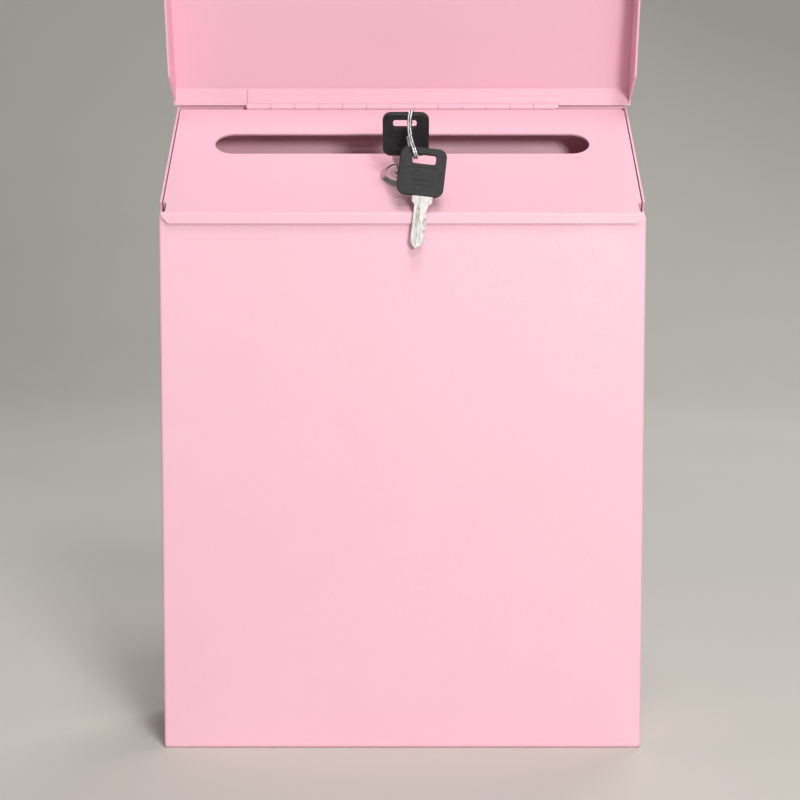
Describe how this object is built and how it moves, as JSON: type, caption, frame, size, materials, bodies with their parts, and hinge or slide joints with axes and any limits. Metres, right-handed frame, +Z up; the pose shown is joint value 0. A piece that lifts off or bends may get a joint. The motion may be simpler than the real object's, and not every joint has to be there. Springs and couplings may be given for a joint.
{
  "type": "wall-hung donation box",
  "caption": "Wall-hung steel box with a sloped inner door, paper slot and cam lock under a flip-up cover lid, with two keys on a wire loop.",
  "frame": {"origin": "on the back face, at the centre of the four wall holes, half way up the body", "axes": "+X to the right seen from the front, front faces -Y, +Z up"},
  "size_m": [0.2448, 0.0962, 0.4269],
  "materials": {
    "pink_powder_coat": "satin powder coat with a fine orange-peel texture",
    "lock_chrome": "polished chrome plate",
    "plug_nickel": "satin nickel plate",
    "wafer_brass": "stamped brass",
    "spring_steel": "bright drawn wire",
    "zinc_plate": "bright zinc plate",
    "key_nickel": "nickel plate with fine milling marks",
    "key_plastic": "dark grey moulded plastic, lightly textured",
    "loop_wire": "bright wire"
  },
  "bodies": {
    "box": {"body_shell": "pink_powder_coat", "back_panel": "pink_powder_coat", "bottom_panel": "pink_powder_coat", "latch_catch": "pink_powder_coat", "hinge_body_leaf": "pink_powder_coat", "hinge_pin": "spring_steel"},
    "door": {"slot_door": "pink_powder_coat", "hinge_door_leaf": "pink_powder_coat", "lock_housing": "lock_chrome", "lock_nut": "zinc_plate", "lock_washer": "zinc_plate"},
    "plug": {"lock_plug": "plug_nickel", "lock_wafers": "wafer_brass", "wafer_springs": "spring_steel", "stop_washer": "zinc_plate", "lock_cam": "zinc_plate", "cam_washer": "zinc_plate", "cam_screw": "zinc_plate"},
    "key": {"key_blade": "key_nickel", "key_head": "key_plastic"},
    "loop": {"key_loop": "loop_wire"},
    "spare": {"spare_key_blade": "key_nickel", "spare_key_head": "key_plastic"},
    "cover": {"lid": "pink_powder_coat", "hinge_lid_leaf": "pink_powder_coat"}
  },
  "joints": [
    {"name": "lid_hinge", "type": "hinge", "parent": "box", "child": "cover", "pos_m": [0, -0.006, 0.163], "axis": [-1, 0, 0], "range_deg": [-75, 0]},
    {"name": "door_hinge", "type": "hinge", "parent": "box", "child": "door", "pos_m": [0, -0.006, 0.163], "axis": [-1, 0, 0], "range_deg": [0, 50]},
    {"name": "key_turn", "type": "hinge", "parent": "door", "child": "plug", "pos_m": [0, -0.06279, 0.1247], "axis": [0, 0.5592, -0.829], "range_deg": [0, 90]},
    {"name": "key_pull", "type": "slide", "parent": "plug", "child": "key", "axis": [0, -0.5592, 0.829], "range_m": [0, 0.02]},
    {"name": "loop_swing", "type": "hinge", "parent": "key", "child": "loop", "pos_m": [0.0058, -0.08197, 0.15313], "axis": [-1, 0, 0], "range_deg": [0, 25]},
    {"name": "spare_swing", "type": "hinge", "parent": "loop", "child": "spare", "pos_m": [0.0058, -0.08952, 0.13534], "axis": [-1, 0, 0], "range_deg": [0, 54]}
  ],
  "couplings": [
    {"joint": "spare_swing", "follows": "key_turn", "ratio": 0.6}
  ]
}
